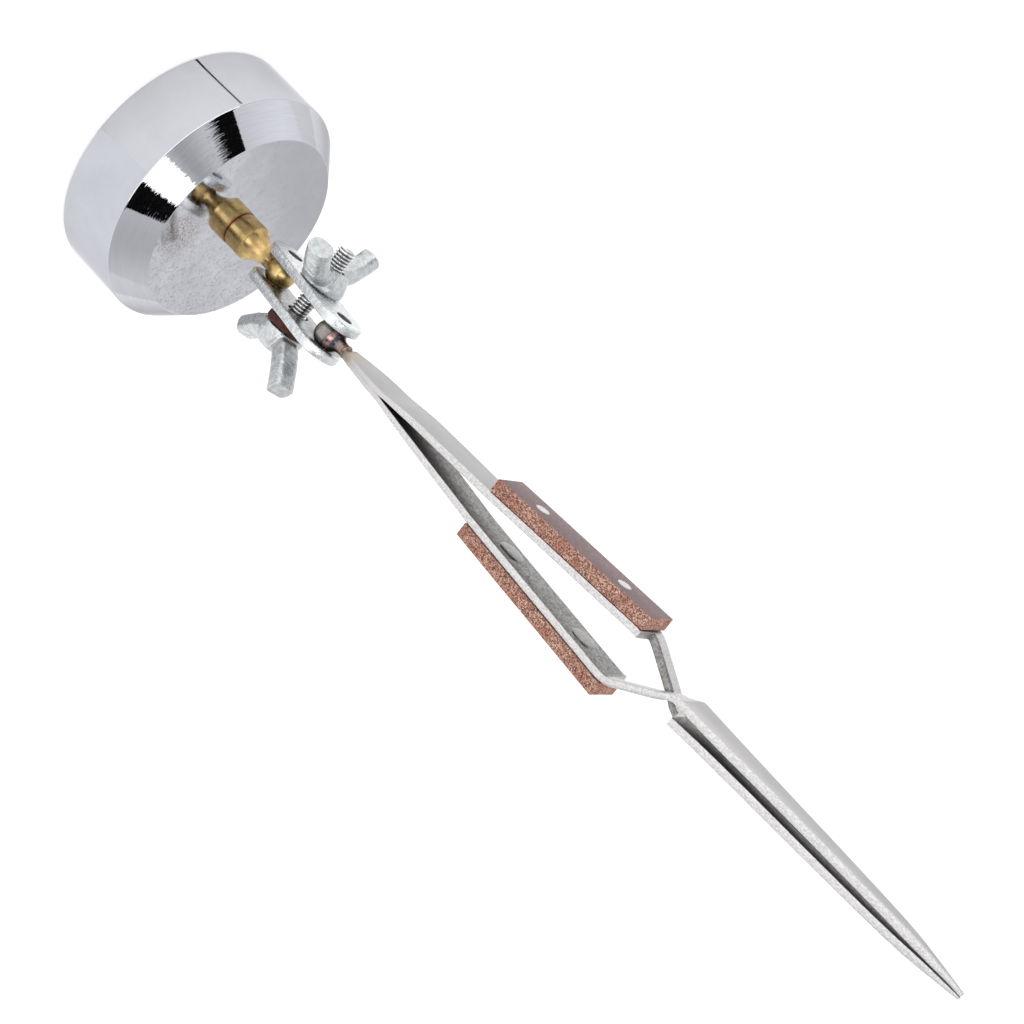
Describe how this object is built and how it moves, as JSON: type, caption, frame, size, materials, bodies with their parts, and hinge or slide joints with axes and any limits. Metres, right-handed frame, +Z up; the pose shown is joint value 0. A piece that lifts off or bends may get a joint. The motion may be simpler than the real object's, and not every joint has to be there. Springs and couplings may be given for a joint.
{
  "type": "soldering third hand with cross-lock tweezers",
  "caption": "Weighted steel base with a brass ball post, a two-plate ball clamp on a wing screw, and self-closing cross-lock tweezers with fibre grips.",
  "frame": {"origin": "centre of the flat underside of the base weight", "axes": "+Z up along the ball post; +X along the clamp screw, from the wing screw's head towards the wing nut; the clamp leans towards +Y"},
  "size_m": [0.054, 0.054, 0.2301],
  "materials": {
    "chrome_plate": "polished",
    "turned_brass": "turned and polished",
    "zinc_plate": "bright zinc plated",
    "zinc_fastener": "bright zinc plated, cold formed",
    "fibre_washer": "vulcanised fibre",
    "blued_steel": "heat darkened",
    "braze_alloy": "as brazed",
    "nickel_steel": "satin nickel plated",
    "grip_fibre": "vulcanised fibre",
    "rivet_steel": "nickel plated"
  },
  "bodies": {
    "base": {"base_weight": "chrome_plate"},
    "post": {"ball_post": "turned_brass"},
    "clamp": {"front_plate": "zinc_plate", "fibre_washer": "fibre_washer"},
    "clamp_rear": {"rear_plate": "zinc_plate"},
    "screw": {"wing_screw": "zinc_fastener"},
    "nut": {"wing_nut": "zinc_fastener"},
    "tip_ball": {"tweezer_ball": "blued_steel"},
    "tang": {"braze_bead": "braze_alloy", "upper_root": "nickel_steel", "lower_root": "nickel_steel"},
    "upper_arm": {"upper_blade": "nickel_steel", "upper_grip": "grip_fibre", "upper_rivet_rear": "rivet_steel", "upper_rivet_front": "rivet_steel"},
    "lower_arm": {"lower_blade": "nickel_steel", "lower_grip": "grip_fibre", "lower_rivet_rear": "rivet_steel", "lower_rivet_front": "rivet_steel"}
  },
  "joints": [
    {"name": "post_twist", "type": "hinge", "parent": "base", "child": "post", "pos_m": [0, 0, 0.0356], "axis": [0, 0, 1], "continuous": true},
    {"name": "clamp_swing", "type": "hinge", "parent": "post", "child": "clamp", "pos_m": [0, 0, 0.0356], "axis": [1, 0, 0], "range_deg": [-40, 60]},
    {"name": "rear_plate_release", "type": "slide", "parent": "clamp", "child": "clamp_rear", "axis": [1, 0, 0], "range_m": [0, 0.0007]},
    {"name": "wing_nut_turn", "type": "hinge", "parent": "clamp_rear", "child": "nut", "pos_m": [0.006, 0.00312, 0.04613], "axis": [1, 0, 0], "range_deg": [0, 360]},
    {"name": "wing_screw_turn", "type": "hinge", "parent": "clamp", "child": "screw", "pos_m": [-0.008, 0.00312, 0.04613], "axis": [1, 0, 0], "continuous": true},
    {"name": "tweezer_swing", "type": "hinge", "parent": "clamp", "child": "tip_ball", "pos_m": [0, 0.00624, 0.05666], "axis": [1, 0, 0], "range_deg": [-60, 40]},
    {"name": "tweezer_twist", "type": "hinge", "parent": "tip_ball", "child": "tang", "pos_m": [0, 0.00624, 0.05666], "axis": [0, 0, 1], "continuous": true},
    {"name": "upper_arm_squeeze", "type": "hinge", "parent": "tang", "child": "upper_arm", "pos_m": [0, 0.00624, 0.07566], "axis": [0.0941, -0.9956, 0], "range_deg": [0, 2.3], "stiffness_Nm_per_rad": 3.5, "springref_deg": -1.72},
    {"name": "lower_arm_squeeze", "type": "hinge", "parent": "tang", "child": "lower_arm", "pos_m": [0, 0.00624, 0.07566], "axis": [-0.0941, 0.9956, 0], "range_deg": [0, 2.3], "stiffness_Nm_per_rad": 3.5, "springref_deg": -1.72}
  ],
  "couplings": [
    {"joint": "wing_nut_turn", "follows": "rear_plate_release", "rad_per_m": 8975.9},
    {"joint": "lower_arm_squeeze", "follows": "upper_arm_squeeze", "ratio": 1}
  ]
}
